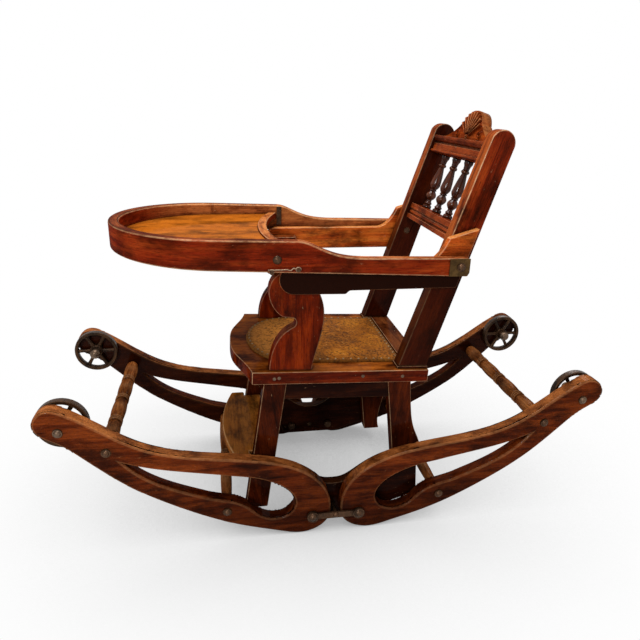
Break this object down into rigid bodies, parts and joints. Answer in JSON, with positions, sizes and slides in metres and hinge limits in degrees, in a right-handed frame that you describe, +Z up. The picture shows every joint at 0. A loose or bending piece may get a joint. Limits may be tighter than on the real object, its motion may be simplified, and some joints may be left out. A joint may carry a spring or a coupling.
{
  "type": "child's rocking high chair",
  "caption": "Child's wooden high chair with a swing-up tray on folding slotted rocker frames, which lie down as rockers or stand up as tall legs on iron wheels.",
  "frame": {"origin": "On the floor, midway between the front and rear rockers and between the two sides, with the chair folded down as a rocker.", "axes": "+X towards the back of the chair (the child faces -X), +Y towards the child's right hand, +Z up."},
  "size_m": [0.843, 0.331, 0.621],
  "materials": {
    "varnished_wood": "worn gloss varnish",
    "turned_wood": "gloss varnish",
    "tray_wood": "worn varnish",
    "worn_board": "scuffed and bare",
    "seat_cover": "dry and worn",
    "cast_iron": "rough, darkened",
    "dark_iron": "aged, darkened",
    "aged_brass": "tarnished"
  },
  "bodies": {
    "chair": {"seat_board": "varnished_wood", "seat_rear_ledge": "varnished_wood", "front_seat_rail": "varnished_wood", "rear_seat_rail": "varnished_wood", "footrest_rail": "varnished_wood", "back_upright_left": "varnished_wood", "arm_left": "varnished_wood", "arm_support_left": "varnished_wood", "front_leg_left": "varnished_wood", "rear_leg_left": "varnished_wood", "side_yoke_left": "varnished_wood", "side_seat_rail_left": "varnished_wood", "back_upright_right": "varnished_wood", "arm_right": "varnished_wood", "arm_support_right": "varnished_wood", "front_leg_right": "varnished_wood", "rear_leg_right": "varnished_wood", "side_yoke_right": "varnished_wood", "side_seat_rail_right": "varnished_wood", "crest": "varnished_wood", "top_back_rail": "varnished_wood", "lower_back_rail": "varnished_wood", "back_spindle_1": "turned_wood", "back_spindle_2": "turned_wood", "back_spindle_3": "turned_wood", "back_spindle_4": "turned_wood", "seat_panel": "seat_cover", "footrest": "worn_board", "link_strap_left": "dark_iron", "link_strap_right": "dark_iron", "pivot_bolts": "dark_iron", "strap_rivets": "dark_iron", "tray_pivot_bolts": "dark_iron"},
    "front_frame": {"front_rocker_left": "varnished_wood", "front_rocker_right": "varnished_wood", "front_upper_stretcher": "turned_wood", "front_lower_stretcher": "turned_wood", "front_stretcher_bolts": "dark_iron", "front_axles": "dark_iron"},
    "rear_frame": {"rear_rocker_left": "varnished_wood", "rear_rocker_right": "varnished_wood", "rear_upper_stretcher": "turned_wood", "rear_lower_stretcher": "turned_wood", "rear_stretcher_bolts": "dark_iron", "rear_axles": "dark_iron"},
    "front_wheel_left": {"front_wheel_left": "cast_iron"},
    "front_wheel_right": {"front_wheel_right": "cast_iron"},
    "rear_wheel_left": {"rear_wheel_left": "cast_iron"},
    "rear_wheel_right": {"rear_wheel_right": "cast_iron"},
    "tray": {"tray_rim": "varnished_wood", "tray_board": "tray_wood", "tray_edge_strip": "varnished_wood", "tray_end_plates": "aged_brass", "tray_studs": "dark_iron", "tray_inner_irons": "dark_iron", "tray_hook_pins": "dark_iron"},
    "tray_hook_left": {"tray_hook_left": "dark_iron"},
    "tray_hook_right": {"tray_hook_right": "dark_iron"}
  },
  "joints": [
    {"name": "front_frame_fold", "type": "hinge", "parent": "chair", "child": "front_frame", "pos_m": [-0.0358, 0, 0.0307], "axis": [0, -1, 0], "range_deg": [0, 86]},
    {"name": "rear_frame_fold", "type": "hinge", "parent": "chair", "child": "rear_frame", "pos_m": [0.0358, 0, 0.0307], "axis": [0, 1, 0], "range_deg": [0, 86]},
    {"name": "front_wheel_left_spin", "type": "hinge", "parent": "front_frame", "child": "front_wheel_left", "pos_m": [-0.385, 0, 0.2026], "axis": [0, 1, 0], "continuous": true},
    {"name": "front_wheel_right_spin", "type": "hinge", "parent": "front_frame", "child": "front_wheel_right", "pos_m": [-0.385, 0, 0.2026], "axis": [0, 1, 0], "continuous": true},
    {"name": "rear_wheel_left_spin", "type": "hinge", "parent": "rear_frame", "child": "rear_wheel_left", "pos_m": [0.385, 0, 0.2026], "axis": [0, 1, 0], "continuous": true},
    {"name": "rear_wheel_right_spin", "type": "hinge", "parent": "rear_frame", "child": "rear_wheel_right", "pos_m": [0.385, 0, 0.2026], "axis": [0, 1, 0], "continuous": true},
    {"name": "tray_swing", "type": "hinge", "parent": "chair", "child": "tray", "pos_m": [0.1643, 0, 0.4187], "axis": [0, 1, 0], "range_deg": [0, 160]},
    {"name": "tray_hook_left_lift", "type": "hinge", "parent": "tray", "child": "tray_hook_left", "pos_m": [-0.0615, 0, 0.4216], "axis": [0, 1, 0], "range_deg": [0, 95]},
    {"name": "tray_hook_right_lift", "type": "hinge", "parent": "tray", "child": "tray_hook_right", "pos_m": [-0.0615, 0, 0.4216], "axis": [0, 1, 0], "range_deg": [0, 95]}
  ]
}
